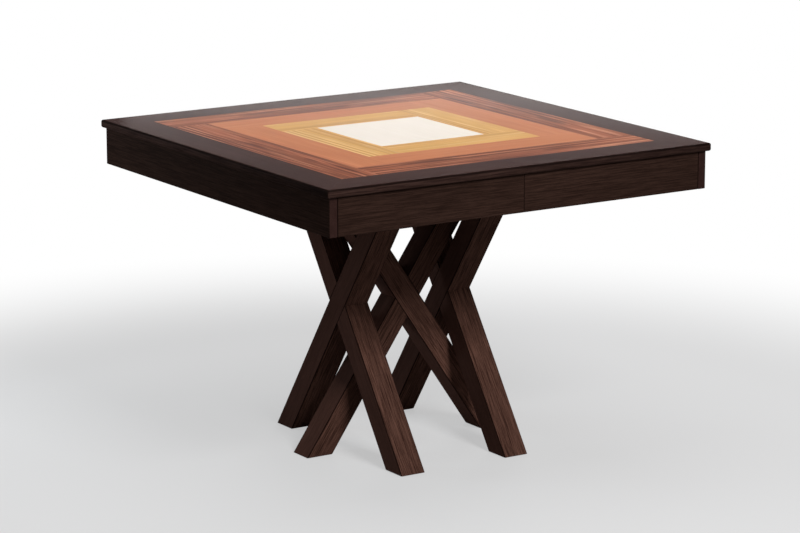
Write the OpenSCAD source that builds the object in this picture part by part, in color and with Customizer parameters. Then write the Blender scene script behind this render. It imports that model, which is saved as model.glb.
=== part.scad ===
// Square extending dining table on three crossed trestle frames.
// The top and its apron part at the middle and slide on geared rails,
// and a folding leaf is stored under the top.
// Origin: on the floor under the middle of the closed top. The seam runs along Y.

/* [Table top] */
// Length of the closed top, in the direction it extends
top_l = 1056; // [960:4:1200]
// Width of the top, along the seam
top_w = 1056; // [1000:4:1200]
// Height of the top surface above the floor
table_h = 762; // [720:1:790]
// Thickness of the top
top_t = 19; // [18:0.5:28]
// Width of the dark border
border_w = 96; // [70:1:110]
// Width of each coloured band
band_w = 96; // [70:1:110]
// Thickness of the inlaid strips
inlay_t = 4; // [2:0.5:6]
// Radius on the edges and corners of the top
edge_r = 5; // [1:0.5:6]
// Gap between the two halves of the closed top
seam_gap = 0.3; // [0.3:0.1:1]
// Joint line between neighbouring strips
strip_gap = 0.1; // [0.1:0.05:0.3]

/* [Apron] */
// Height of the apron boards
apron_h = 90; // [82:1:100]
// Thickness of the apron boards
apron_t = 20; // [16:1:24]
// Distance from the edge of the top back to the apron
top_overhang = 10; // [6:1:20]
// Radius on the long edges of the apron boards
apron_r = 1.5; // [0.5:0.5:4]
// Shadow gap between a side board and the boards beside it
end_reveal = 2; // [0.6:0.2:3]
// Shadow gap between the two boards that meet at the seam
middle_reveal = 1.4; // [0.4:0.2:3]
// Height of the shadow line cut under the top
shadow_h = 4; // [2:0.5:8]
// Depth of the shadow line
shadow_d = 4; // [2:0.5:8]
// Leg of a triangular corner block
block_leg = 60; // [40:1:70]
// Height of a corner block
block_h = 50; // [30:1:56]

/* [Crossed base] */
// Width of a beam in the plane of its frame
beam_w = 58; // [48:1:62]
// Thickness of a beam across its frame
beam_t = 66; // [54:1:70]
// Angle of a beam from the vertical
lean = 34.6; // [31:0.2:36]
// Height of the point where two beams cross
cross_h = 363; // [340:1:385]
// Radius on the long edges of a beam
arris_r = 3; // [1:0.5:6]
// Clear space where the middle frame passes through a side frame
weave_gap = 10.5; // [8:0.5:30]
// Glue line in the halving joints
lap_gap = 0.1; // [0.1:0.05:0.3]
// Diameter of a foot glide
glide_d = 34; // [20:1:40]
// Height of the wood above the floor
glide_lift = 1.5; // [1:0.5:3]
// Depth of the recess that holds a glide
glide_seat = 3; // [2:0.5:6]

/* [Plate and stored leaf] */
// Thickness of the plate on top of the base
plate_t = 18; // [15:1:22]
// Plate beyond the outermost beam ends
plate_margin = 38; // [20:1:60]
// Plate beyond the fixed rails
plate_rim = 30; // [15:1:50]
// Thickness of the battens that carry the leaf
rest_t = 4; // [3:0.5:8]
// Width of a batten
rest_w = 28; // [20:1:40]
// Space between the two halves of the folded leaf
fold_gap = 0.3; // [0.3:0.1:1]
// Clear height over the stored leaf
leaf_clear = 18.7; // [17:0.1:22]
// Space between the stored leaf and the slides
leaf_gap = 6; // [4:0.5:15]
// Length of a leaf hinge
hinge_l = 60; // [40:1:90]
// Knuckle diameter of a leaf hinge
hinge_d = 5; // [4:0.5:6]
// Middle of an outer hinge to the end of the leaf
hinge_inset = 60; // [50:1:90]
// Middle of a batten to the long edge of the leaf
rest_inset = 60; // [40:1:90]
// End of a batten to the end of the leaf
rest_short = 10; // [0:1:30]
// Radius on the corners of the plate
plate_corner = 12; // [4:1:25]

/* [Slides] */
// How far each half of the top slides out
slide_travel = 228; // [180:1:240]
// Width of a fixed rail
fixed_w = 30; // [26:1:36]
// Height left over a fixed rail for the gear
gear_room = 15; // [14:0.5:18]
// End of a fixed rail to the apron
fixed_end = 20; // [12:1:40]
// End of a sliding rail to the apron
moving_end = 10; // [4:1:30]
// Height of the guide tongue on a fixed rail
tongue_h = 10; // [8:0.5:14]
// How far the tongue stands out
tongue_p = 6; // [4:0.5:7]
// Underside of the tongue above the plate
tongue_z = 20; // [16:1:24]
// Side clearance of a sliding rail
slide_gap = 0.5; // [0.3:0.1:0.8]
// Clearance all round the tongue in its groove
groove_gap = 0.4; // [0.3:0.1:0.8]
// Underside of a sliding rail above the plate
rail_lift = 10; // [4:1:14]
// Wood of a sliding rail behind its rack
rail_web = 11.5; // [10:0.5:16]
// Clearance of a sliding rail under the other half of the top
under_gap = 2; // [1:0.5:4]

/* [Gears] */
// Gear module of racks and pinions
gear_m = 2; // [1.5:0.25:2.25]
// Teeth on a pinion
pinion_teeth = 18; // [18:2:22]
// Thickness of racks and pinions
gear_t = 8; // [6:0.5:9]
// Space under racks and pinions
gear_lift = 1; // [0.6:0.1:2]
// Steel behind the rack teeth
rack_back = 5.5; // [4:0.5:8]
// Thinning of the pinion teeth for free running
backlash = 0.2; // [0.1:0.05:0.3]
// Diameter of a pinion axle
axle_d = 8; // [6:0.5:10]
// Radial running clearance on axles and pivots
run_gap = 0.05; // [0.03:0.01:0.09]

/* [Latches and pins] */
// Thickness of a latch hook
latch_t = 2.5; // [2:0.25:3]
// Width of a latch hook
latch_w = 18; // [16:1:24]
// Distance from the pivot of a latch to its peg
latch_l = 65; // [55:1:80]
// Swing of a latch from free to locked
latch_swing = 35; // [25:1:45]
// Diameter of latch pegs and pivots
peg_d = 6; // [5:0.5:7]
// Clearance of a peg in its hook
peg_gap = 0.6; // [0.4:0.1:0.8]
// Distance of a latch from the sliding rail beside it
latch_out = 50; // [40:1:70]
// Diameter of an alignment pin
pin_d = 8; // [6:0.5:10]
// Length of an alignment pin beyond the seam
pin_reach = 14; // [8:1:20]
// Length of an alignment pin inside its own half
pin_root = 24; // [16:1:40]
// Radial clearance of an alignment pin in the other half
pin_gap = 0.3; // [0.2:0.05:0.5]
// Distance from the end of the inner field to the outer pin
pin_inset = 52; // [30:1:90]
// Distance between an outer and an inner pin
pin_pitch = 250; // [150:1:280]

/* [Screws] */
// Shank diameter of a screw
screw_d = 5; // [4:0.5:6]
// Head diameter of a screw
screw_head = 9; // [8:0.5:10]
// Height of a screw head
head_h = 3; // [2:0.5:4]
// Clearance round a screw head
head_gap = 0.5; // [0.3:0.1:1]
// Depth of a screw in the top
top_bite = 11; // [8:0.5:12]
// Depth of a plate screw in a beam
beam_bite = 40; // [25:1:50]
// Depth of a rail screw in the plate
plate_bite = 13; // [8:0.5:14]
// Screws along each sliding rail
rail_screws = 4; // [3:1:6]
// Distance between the screws of a fixed rail
plate_screw_pitch = 145; // [100:1:155]
// First screw of a sliding rail from the seam
rail_screw_from = 50; // [40:1:80]
// Last screw of a sliding rail from the end of the field
rail_screw_end = 40; // [30:1:60]
// Screw heads of a sliding rail above its underside
rail_head_up = 22; // [15:1:26]

/* [Hidden] */

$fn = 48;
big = 4000;
cut = 1;

// Half sizes of the top and of the field inside the border
half_l = top_l / 2;
half_w = top_w / 2;
field_l = half_l - border_w;
field_w = half_w - border_w;
top_z = table_h - top_t;
inlay_z = table_h - inlay_t;
seam = seam_gap / 2;
core_t = top_t - inlay_t;
pin_z = top_z + core_t / 2;

// Apron
apron_z = top_z - apron_h;
apron_x = half_l - top_overhang;
apron_y = half_w - top_overhang;
apron_in_x = apron_x - apron_t;
apron_in_y = apron_y - apron_t;

// Heights of the plate and of what lies on it
leaf_t = top_t;
plate_top = top_z - leaf_clear - 2 * leaf_t - fold_gap - rest_t;
plate_z = plate_top - plate_t;
leaf_z = plate_top + rest_t;
fold_z = leaf_z + leaf_t + fold_gap / 2;
fixed_top = top_z - gear_room;
gear_z = fixed_top + gear_lift;

// Half the folded leaf: as long as the opening, and half as wide as the top
leaf_half_l = slide_travel;
leaf_half_w = top_w / 4;

// Gears: pitch circle, tooth heights, rack, then the pinion flank in degrees of turn
pitch_r = gear_m * pinion_teeth / 2;
tooth_pitch = PI * gear_m;
pressure = 20;
tip_h = gear_m;
root_h = 1.25 * gear_m;
rack_back_y = pitch_r + root_h + rack_back;
rack_lead = 14;
rack_start = -ceil(rack_lead / tooth_pitch) * tooth_pitch;
rack_teeth = ceil((slide_travel + rack_lead - rack_start) / tooth_pitch);
rack_end = rack_start + rack_teeth * tooth_pitch;
base_r = pitch_r * cos(pressure);
root_r = pitch_r - root_h;
tip_r = pitch_r + tip_h;
flank_steps = 5;
tip_angle = sqrt(pow(tip_r / base_r, 2) - 1) * 180 / PI;
pitch_angle = tan(pressure) * 180 / PI;
half_tooth = 90 / pinion_teeth - backlash / 2 / pitch_r * 180 / PI;
flank_turn = half_tooth + pitch_angle - pressure;
root_ease = 0.6;
half_root = 180 / pinion_teeth - 2 * root_ease;

// Slides, measured across from the middle of each slide
moving_in = fixed_w / 2 + slide_gap;
moving_out = rack_back_y + rail_web;
moving_past = rack_end + 5;
slide_y = leaf_half_w + leaf_gap + moving_out;
fixed_half = apron_in_x - fixed_end;
moving_from = apron_in_x - moving_end;
rail_screw_y = rack_back_y + rail_web / 2;
moving_z = plate_top + rail_lift;
rail_head_z = moving_z + rail_head_up;
rail_screw_to = field_l - rail_screw_end;
rail_screw_xs = [for (k = [0:rail_screws - 1])
  -rail_screw_from - k * (rail_screw_to - rail_screw_from) / (rail_screws - 1)];
groove_y = fixed_w / 2 + tongue_p + groove_gap;
groove_z = plate_top + tongue_z - groove_gap;
groove_top = plate_top + tongue_z + tongue_h + groove_gap;
fixed_head_z = plate_top + tongue_z;
fixed_tip_z = plate_top - plate_bite;
block_head_z = top_z - block_h / 2;

// Pinion axles: depth in the fixed rail, collar and cap
axle_seat = 30;
axle_foot = fixed_top - axle_seat;
collar_d = axle_d + 7;
collar_gap = 0.3;
cap_t = 1.6;
cap_z = gear_z + gear_t + collar_gap;

// Leaf hinges: plate thickness, height of one wing, room in the notch, and places
hinge_plate = 1.5;
hinge_wing = 16;
hinge_room = 0.3;
notch_l = hinge_l + 2 * hinge_room;
hinge_x = [-1, 0, 1] * (leaf_half_l - hinge_inset);

// Alignment pins along the seam
pin_ys = [for (side = [-1, 1], k = [0, 1]) side * (field_w - pin_inset - k * pin_pitch)];

// Base
frame_x = beam_t + beam_w / cos(lean) + weave_gap;
beam_reach = (plate_z - cross_h) * tan(lean);
beam_half_top = beam_w / 2 / cos(lean);
plate_half_l = max(beam_reach + beam_half_top, frame_x + beam_t / 2) + plate_margin;
plate_half_w = slide_y + fixed_w / 2 + plate_rim;
foot_reach = (cross_h - glide_lift) * tan(lean);
plate_screw_x = (plate_z - beam_bite / 2 - cross_h) * tan(lean);
plate_screw_y = beam_t / 4;
fixed_screw_x = [-1.5, -0.5, 0.5, 1.5] * plate_screw_pitch;

// Latches
latch_y = slide_y + moving_out + latch_out;
latch_x = -40;
latch_z = top_z - 8;
pivot_head = 12;
hook_r = latch_w / 2;
slot_w = peg_d + 2 * peg_gap;
pivot_z = latch_z - collar_gap - cap_t;
ring_z = latch_z + latch_t + collar_gap;

// Rounded rectangle centred on the origin
module rounded(w, h, r) {
  square([w - 2 * r, h], center = true);
  square([w, h - 2 * r], center = true);
  for (x = [-1, 1], y = [-1, 1])
    translate([x * (w / 2 - r), y * (h / 2 - r)]) circle(r);
}

// Upward screw with its head below, from the underside of the head to its tip
module screw(z_head, z_tip) {
  translate([0, 0, z_head]) cylinder(h = z_tip - z_head, d = screw_d);
  translate([0, 0, z_head - head_h]) cylinder(h = head_h, d = screw_head);
}

// The bore for such a screw, open below its head down to z_open
module screw_bore(z_head, z_tip, z_open) {
  translate([0, 0, z_open]) cylinder(h = z_tip - z_open, d = screw_d);
  translate([0, 0, z_open]) cylinder(h = z_head - z_open, d = screw_head + 2 * head_gap);
}

// Beam that leans toward +X as it rises when side is 1, toward -X when side is -1
module leaning_bar(side, w, t, r) {
  translate([0, 0, cross_h])
    rotate([0, side * lean, 0])
      linear_extrude(big / 2, center = true)
        rounded(w, t, r);
}

// One beam of a crossed frame that stands in the XZ plane. It keeps its wood on the
// keep side of the crossing, toward +Y when keep is 1, and the other beam has the rest.
module cross_beam(side, keep) {
  difference() {
    intersection() {
      leaning_bar(side, beam_w, beam_t, arris_r);
      translate([-big / 2, -big / 2, glide_lift]) cube([big, big, plate_z - glide_lift]);
    }
    intersection() {
      leaning_bar(-side, beam_w + 2 * lap_gap, beam_t * 2, 0.5);
      translate([-big / 2, keep > 0 ? lap_gap / 2 - big : -lap_gap / 2, 0])
        cube([big, big, table_h]);
    }
    translate([-side * foot_reach, 0, 0]) cylinder(h = glide_lift + glide_seat, d = glide_d);
    for (y = [-1, 1])
      translate([side * plate_screw_x, y * plate_screw_y, plate_z - beam_bite])
        cylinder(h = beam_bite + cut, d = screw_d);
  }
}

// Frame of a side trestle, turned into the YZ plane at x
module side_frame(x) translate([x, 0, 0]) rotate(90) children();

module left_cross_beam_a() color("#4a2f26") side_frame(-frame_x) cross_beam(-1, 1);
module left_cross_beam_b() color("#50332a") side_frame(-frame_x) cross_beam(1, -1);
module right_cross_beam_a() color("#4a2f26") side_frame(frame_x) cross_beam(-1, 1);
module right_cross_beam_b() color("#50332a") side_frame(frame_x) cross_beam(1, -1);
module middle_cross_beam_a() color("#553629") cross_beam(-1, -1);
module middle_cross_beam_b() color("#4d3128") cross_beam(1, 1);

// Places something at both ends of a crossed frame, at a distance from its middle
module frame_ends(reach) for (side = [-1, 1]) translate([side * reach, 0, 0]) children();

// Places something on all three frames
module all_frames() {
  children();
  for (x = [-1, 1]) side_frame(x * frame_x) children();
}

module foot_glides() color("#2b2b2b")
  all_frames() frame_ends(foot_reach) cylinder(h = glide_lift + glide_seat, d = glide_d);

// Screw down through the plate with its head let in flush
module plate_screw() translate([0, 0, plate_top]) mirror([0, 0, 1])
  screw(head_h, beam_bite + plate_t);

module plate_screw_places() all_frames() frame_ends(plate_screw_x)
  for (y = [-1, 1]) translate([0, y * plate_screw_y, 0]) children();

module plate_screws() color("#8c8c8c") plate_screw_places() plate_screw();

// Screws through a fixed rail: head low in a deep counterbore
module fixed_screw_places() for (y = [-slide_y, slide_y], x = fixed_screw_x)
  translate([x, y, 0]) children();

module down_screw(z_head, z_tip) translate([0, 0, z_head]) mirror([0, 0, 1])
  screw(0, z_head - z_tip);

module fixed_rail_screws() color("#8c8c8c")
  fixed_screw_places() down_screw(fixed_head_z, fixed_tip_z);

module mounting_plate() color("#6b5140") difference() {
  translate([0, 0, plate_z]) linear_extrude(plate_t)
    rounded(2 * plate_half_l, 2 * plate_half_w, plate_corner);
  plate_screw_places() {
    translate([0, 0, plate_z - cut]) cylinder(h = plate_t + 2 * cut, d = screw_d);
    translate([0, 0, plate_top - head_h]) cylinder(h = head_h + cut, d = screw_head + 2 * head_gap);
  }
  fixed_screw_places() translate([0, 0, fixed_tip_z]) cylinder(h = plate_bite + cut, d = screw_d);
}

// Fixed rail of a slide, with a guide tongue on each side
module fixed_rail(y) color("#c9a878") translate([0, y, 0]) difference() {
  translate([-fixed_half, 0, 0]) rotate([90, 0, 90]) linear_extrude(2 * fixed_half) union() {
    translate([-fixed_w / 2, plate_top]) square([fixed_w, fixed_top - plate_top]);
    translate([-fixed_w / 2 - tongue_p, plate_top + tongue_z])
      square([fixed_w + 2 * tongue_p, tongue_h]);
  }
  for (x = fixed_screw_x) translate([x, 0, 0]) {
    translate([0, 0, plate_top - cut]) cylinder(h = fixed_top, d = screw_d);
    translate([0, 0, fixed_head_z]) cylinder(h = fixed_top, d = screw_head + 2 * head_gap);
  }
  translate([0, 0, axle_foot]) cylinder(h = axle_seat + cut, d = axle_d);
}

module front_fixed_rail() fixed_rail(-slide_y);
module rear_fixed_rail() fixed_rail(slide_y);

// Pinion axle with a collar under the pinion and a cap over it
module pinion_axles() color("#9a9a9a") for (y = [-slide_y, slide_y]) translate([0, y, 0]) {
  translate([0, 0, axle_foot]) cylinder(h = cap_z + cap_t - axle_foot, d = axle_d);
  translate([0, 0, fixed_top]) cylinder(h = gear_lift - collar_gap, d = collar_d);
  translate([0, 0, cap_z]) cylinder(h = cap_t, d = collar_d);
}

// Involute of a circle of radius r at angle a, in degrees
function involute(r, a) =
  [r * (cos(a) + a * PI / 180 * sin(a)), r * (sin(a) - a * PI / 180 * cos(a))];
function turned(p, a) = [p[0] * cos(a) - p[1] * sin(a), p[0] * sin(a) + p[1] * cos(a)];
function mirrored(p) = [p[0], -p[1]];

// Pinion outline: involute flanks from the base circle to the tip
function flank(i) = turned(mirrored(involute(base_r, tip_angle * i / flank_steps)), flank_turn);
function root_point(a) = [root_r * cos(a), root_r * sin(a)];
tooth_side = concat(
  [root_point(half_root), root_point(flank_turn + root_ease)],
  [for (i = [0:flank_steps]) flank(i)]);
one_tooth = concat(tooth_side,
  [for (i = [len(tooth_side) - 1:-1:0]) mirrored(tooth_side[i])]);
pinion_outline = [for (k = [0:pinion_teeth - 1], p = one_tooth)
  turned(p, 90 - k * 360 / pinion_teeth)];

module pinion(y) color("#b08d4a") translate([0, y, gear_z]) difference() {
  linear_extrude(gear_t) polygon(pinion_outline);
  translate([0, 0, -cut]) cylinder(h = gear_t + 2 * cut, d = axle_d + 2 * run_gap);
}

module front_pinion() pinion(-slide_y);
module rear_pinion() pinion(slide_y);

// Rack with its teeth toward -Y, its pitch line at y = pitch_r, and a space at x = 0
tip_half = tooth_pitch / 4 - tip_h * tan(pressure);
root_half = tooth_pitch / 4 + root_h * tan(pressure);
rack_tooth = [[-root_half, root_h], [-tip_half, -tip_h], [tip_half, -tip_h], [root_half, root_h]];
rack_outline = concat(
  [[rack_start, rack_back_y], [rack_start, pitch_r + root_h]],
  [for (k = [0:rack_teeth - 1], p = rack_tooth)
    [rack_start + (k + 0.5) * tooth_pitch + p[0], pitch_r + p[1]]],
  [[rack_end, pitch_r + root_h], [rack_end, rack_back_y]]);

// Leaf stored folded, one half on the other, held on battens
module leaf_rests() color("#c9a878") for (y = [-1, 1])
  translate([-leaf_half_l + rest_short, y * (leaf_half_w - rest_inset) - rest_w / 2, plate_top])
    cube([2 * (leaf_half_l - rest_short), rest_w, rest_t]);

// Half a leaf, with its hinge notches along the fold
module leaf_half(z, fold_side) difference() {
  translate([0, 0, z + leaf_t / 2]) intersection() {
    cube([2 * leaf_half_l, 2 * leaf_half_w, leaf_t], center = true);
    rotate([90, 0, 90]) linear_extrude(3 * leaf_half_l, center = true) intersection() {
      rounded(2 * leaf_half_w, leaf_t, edge_r);
      translate([-leaf_half_w, -leaf_t]) square([2 * leaf_half_w, 2 * leaf_t]);
    }
  }
  for (x = hinge_x) translate([x - notch_l / 2, leaf_half_w - hinge_plate, fold_z]) {
    translate([0, 0, fold_side > 0 ? 0 : -hinge_wing]) cube([notch_l, hinge_plate + cut, hinge_wing]);
    rotate([0, 90, 0]) cylinder(h = notch_l, d = hinge_d + 2 * hinge_room);
  }
}

module leaf_lower_half() color("#5a3d30") leaf_half(leaf_z, -1);
module leaf_upper_half() color("#5a3d30") leaf_half(leaf_z + leaf_t + fold_gap, 1);

module leaf_hinges() color("#b08d4a") for (x = hinge_x)
  translate([x - hinge_l / 2, leaf_half_w - hinge_plate, fold_z]) {
    translate([0, 0, -hinge_wing + hinge_room])
      cube([hinge_l, hinge_plate, 2 * (hinge_wing - hinge_room)]);
    rotate([0, 90, 0]) cylinder(h = hinge_l, d = hinge_d);
  }

// Everything below to the next heading is drawn for the left half of the top.
// The right half is the same, turned half a turn about the middle of the table.

// Whole slab with all its edges and corners rounded
module rounded_slab() translate([0, 0, top_z + top_t / 2]) intersection() {
  linear_extrude(2 * top_t, center = true) rounded(top_l, top_w, edge_r);
  rotate([90, 0, 0]) linear_extrude(2 * top_w, center = true) rounded(top_l, top_t, edge_r);
  rotate([90, 0, 90]) linear_extrude(2 * top_l, center = true) rounded(top_w, top_t, edge_r);
}

// Mitre line at a front or rear corner of the border
module mitre(side)
  translate([-half_l + border_w / 2, side * (half_w - border_w / 2), top_z + top_t / 2])
    rotate(side * -45) cube([3 * border_w, strip_gap, 2 * top_t], center = true);

module half_border() difference() {
  rounded_slab();
  translate([-field_l, -field_w, 0]) cube([big, 2 * field_w, big]);
  translate([-seam, -big / 2, 0]) cube([big, big, big]);
  for (side = [-1, 1]) mitre(side);
  block_screw_places() top_bore(screw_d);
}

// Core board with blind bores along the seam for the alignment pins
module half_core(bore_depth, bore_d) difference() {
  translate([-field_l, -field_w, top_z]) cube([field_l - seam, 2 * field_w, core_t]);
  rail_screw_places() top_bore(screw_d);
  for (y = pin_ys) translate([cut, y, pin_z]) rotate([0, -90, 0])
    cylinder(h = bore_depth + cut, d = bore_d);
}
module top_bore(d) translate([0, 0, top_z - cut]) cylinder(h = top_bite + cut, d = d);

// One inlaid strip between two corners of its plan
module strip(x0, x1, y0, y1) translate([x0 + strip_gap / 2, y0 + strip_gap / 2, inlay_z])
  cube([min(x1 - strip_gap / 2, -seam) - x0 - strip_gap / 2, y1 - y0 - strip_gap, inlay_t]);

// Band number k, from the border inward, as strips that run past each other like a pinwheel
module half_band(k) {
  out_l = field_l - k * band_w;
  out_w = field_w - k * band_w;
  in_l = out_l - band_w;
  in_w = out_w - band_w;
  strip(-out_l, -in_l, -out_w, in_w);
  strip(-in_l, 0, -out_w, -in_w);
  strip(-out_l, 0, in_w, out_w);
}

module half_centre() strip(-(field_l - 3 * band_w), 0, -(field_w - 3 * band_w), field_w - 3 * band_w);

module board(length) linear_extrude(length) rounded(apron_t, apron_h, apron_r);

// Rebate round the outside of the apron, just under the top
module shadow_line() difference() {
  translate([-half_l, -half_w, top_z - shadow_h]) cube([top_l, top_w, top_t]);
  translate([-apron_x + shadow_d, -apron_y + shadow_d, 0])
    cube([2 * (apron_x - shadow_d), 2 * (apron_y - shadow_d), big]);
}

module side_board() difference() {
  translate([-apron_x + apron_t / 2, apron_y, apron_z + apron_h / 2])
    rotate([90, 0, 0]) board(2 * apron_y);
  shadow_line();
}

// Front board when side is -1, rear board when it is 1
module end_board(side) difference() {
  translate([-apron_in_x + end_reveal, side * (apron_y - apron_t / 2), apron_z + apron_h / 2])
    rotate([90, 0, 90]) board(apron_in_x - end_reveal - middle_reveal / 2);
  shadow_line();
}

module block_places() for (side = [-1, 1])
  translate([-apron_in_x, side * apron_in_y, 0]) rotate(side > 0 ? -90 : 0) children();
module block_screw_places() block_places() translate([block_leg * 0.3, block_leg * 0.3, 0]) children();

module half_blocks() difference() {
  block_places() translate([0, 0, top_z - block_h]) linear_extrude(block_h)
    polygon([[0, 0], [block_leg, 0], [0, block_leg]]);
  block_screw_places() screw_bore(block_head_z, top_z + cut, top_z - block_h - cut);
}

// Section of a sliding rail, with a groove for the tongue and a seat for the rack
moving_section = [
  [moving_in, moving_z], [moving_out, moving_z], [moving_out, top_z], [rack_back_y, top_z],
  [rack_back_y, gear_z], [moving_in, gear_z], [moving_in, groove_top], [groove_y, groove_top],
  [groove_y, groove_z], [moving_in, groove_z]];

// Sliding rail beside the fixed rail at y, lowered where it runs under the other half
module moving_rail(y) translate([0, y, 0]) difference() {
  translate([-moving_from, 0, 0]) rotate([90, 0, 90])
    linear_extrude(moving_from + moving_past) polygon(moving_section);
  translate([-seam - under_gap, 0, top_z - under_gap]) cube([big, big, big]);
  for (x = rail_screw_xs) translate([x, rail_screw_y, 0]) screw_bore(rail_head_z, top_z + cut, plate_top);
}

module rail_screw_places() for (y = [-slide_y, slide_y], x = rail_screw_xs)
  translate([x, y + rail_screw_y, 0]) children();
module latch_places() for (side = [-1, 1]) translate([latch_x, side * latch_y, 0]) children();

module half_racks() for (y = [-slide_y, slide_y])
  translate([0, y, gear_z]) linear_extrude(gear_t) polygon(rack_outline);

module half_screws() {
  rail_screw_places() screw(rail_head_z, top_z + top_bite);
  block_screw_places() screw(block_head_z, top_z + top_bite);
}

// Left half
module left_top_core() color("#8a6a4c") difference() {
  half_core(pin_reach + 2, pin_d + 2 * pin_gap);
  latch_places() top_bore(peg_d);
}
module left_top_border() color("#463b36") half_border();
module left_rosewood_band() color("#a8684f") half_band(0);
module left_cherry_band() color("#cc8866") half_band(1);
module left_gold_band() color("#d8b06e") half_band(2);
module left_centre_panel() color("#efe9dd") half_centre();
module left_side_apron() color("#2a1d19") side_board();
module left_front_apron() color("#3a2822") end_board(-1);
module left_rear_apron() color("#3a2822") end_board(1);
module left_corner_blocks() color("#c9a878") half_blocks();
module left_front_rail() color("#c9a878") moving_rail(-slide_y);
module left_rear_rail() color("#c9a878") moving_rail(slide_y);
module left_racks() color("#9a9a9a") half_racks();
module left_screws() color("#8c8c8c") half_screws();

// Pivot post of a latch: a shank in the top, a ring over the hook and a head under it
module latch_pivots() color("#9a9a9a") latch_places() {
  translate([0, 0, pivot_z]) cylinder(h = top_z + top_bite - pivot_z, d = peg_d);
  translate([0, 0, pivot_z]) cylinder(h = cap_t, d = pivot_head);
  translate([0, 0, ring_z]) cylinder(h = top_z - ring_z, d = pivot_head);
}

// Latch hook, swung free. Its slot takes the peg from the side when it swings home.
module hook_plate(side) linear_extrude(latch_t) difference() {
  union() {
    circle(hook_r);
    translate([0, -hook_r]) square([latch_l, latch_w]);
    translate([latch_l, 0]) circle(hook_r);
  }
  translate([latch_l - slot_w / 2, side > 0 ? -latch_w : -slot_w / 2])
    square([slot_w, latch_w + slot_w / 2]);
}
module latch(side)
  translate([latch_x, side * latch_y, latch_z]) rotate(side * latch_swing) difference() {
    hook_plate(side);
    translate([0, 0, -cut]) cylinder(h = latch_t + 2 * cut, d = peg_d + 2 * run_gap);
  }
module front_latch() color("#9a9a9a") latch(-1);
module rear_latch() color("#9a9a9a") latch(1);

// Right half: the same pieces turned half a turn, with fixed pins in the core
module right_half() rotate(180) children();
module right_top_core() color("#8a6a4c") difference() {
  right_half() half_core(pin_root, pin_d);
  latch_peg_places() top_bore(peg_d);
}
module right_top_border() color("#463b36") right_half() half_border();
module right_rosewood_band() color("#a8684f") right_half() half_band(0);
module right_cherry_band() color("#cc8866") right_half() half_band(1);
module right_gold_band() color("#d8b06e") right_half() half_band(2);
module right_centre_panel() color("#efe9dd") right_half() half_centre();
module right_side_apron() color("#2a1d19") right_half() side_board();
module right_front_apron() color("#3a2822") right_half() end_board(1);
module right_rear_apron() color("#3a2822") right_half() end_board(-1);
module right_corner_blocks() color("#c9a878") right_half() half_blocks();
module right_front_rail() color("#c9a878") right_half() moving_rail(slide_y);
module right_rear_rail() color("#c9a878") right_half() moving_rail(-slide_y);
module right_racks() color("#9a9a9a") right_half() half_racks();
module right_screws() color("#8c8c8c") right_half() half_screws();

// Pegs that the latches hook over
module latch_peg_places() for (side = [-1, 1])
  translate([latch_x + latch_l, side * latch_y, 0]) children();
module latch_pegs() color("#9a9a9a") latch_peg_places()
  translate([0, 0, pivot_z]) cylinder(h = top_z + top_bite - pivot_z, d = peg_d);

// Wooden pins fixed in the right half, rounded at the free end
module alignment_pin() {
  cylinder(h = pin_root + pin_reach - pin_d / 2, d = pin_d);
  translate([0, 0, pin_root + pin_reach - pin_d / 2]) sphere(d = pin_d);
}
module alignment_pins() color("#c9a878") for (y = pin_ys)
  translate([pin_root, y, pin_z]) rotate([0, -90, 0]) alignment_pin();

left_cross_beam_a();
left_cross_beam_b();
right_cross_beam_a();
right_cross_beam_b();
middle_cross_beam_a();
middle_cross_beam_b();
foot_glides();
mounting_plate();
plate_screws();
front_fixed_rail();
rear_fixed_rail();
fixed_rail_screws();
pinion_axles();
front_pinion();
rear_pinion();
leaf_rests();
leaf_lower_half();
leaf_upper_half();
leaf_hinges();
left_top_core();
left_top_border();
left_rosewood_band();
left_cherry_band();
left_gold_band();
left_centre_panel();
left_side_apron();
left_front_apron();
left_rear_apron();
left_corner_blocks();
left_front_rail();
left_rear_rail();
left_racks();
left_screws();
latch_pivots();
front_latch();
rear_latch();
right_top_core();
right_top_border();
right_rosewood_band();
right_cherry_band();
right_gold_band();
right_centre_panel();
right_side_apron();
right_front_apron();
right_rear_apron();
right_corner_blocks();
right_front_rail();
right_rear_rail();
right_racks();
right_screws();
latch_pegs();
alignment_pins();
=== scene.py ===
import math

import bmesh
import bpy
import numpy as np
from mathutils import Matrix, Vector


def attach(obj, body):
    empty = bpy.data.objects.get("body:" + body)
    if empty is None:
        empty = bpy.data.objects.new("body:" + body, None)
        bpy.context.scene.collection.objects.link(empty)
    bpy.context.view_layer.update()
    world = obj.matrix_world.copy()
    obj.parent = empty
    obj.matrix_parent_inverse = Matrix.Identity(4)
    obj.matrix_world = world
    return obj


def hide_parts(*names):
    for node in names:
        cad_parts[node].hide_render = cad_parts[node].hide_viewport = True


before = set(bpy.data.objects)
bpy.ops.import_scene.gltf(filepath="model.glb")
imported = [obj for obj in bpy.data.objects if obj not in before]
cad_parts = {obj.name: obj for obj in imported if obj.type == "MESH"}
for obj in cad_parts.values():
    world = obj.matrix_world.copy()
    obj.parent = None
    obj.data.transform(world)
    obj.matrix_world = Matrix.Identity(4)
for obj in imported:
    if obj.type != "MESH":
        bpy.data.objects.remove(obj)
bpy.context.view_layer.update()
mm = 0.001
hair = 0.01  # mm, a difference that doesn't count
longEdge = 100  # mm, only the edges along a board are longer
facing = 0.9  # a face looks along an axis if its normal has more than this along it
sawBlur = 1e-7  # m, points nearer to the saw's plane lie in it
hardAngle = math.radians(50)  # sharper edges are eased
smoothAngle = math.radians(32)  # faces that meet flatter are shaded as one
print("frame loaded,", len(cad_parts), "nodes")


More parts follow.
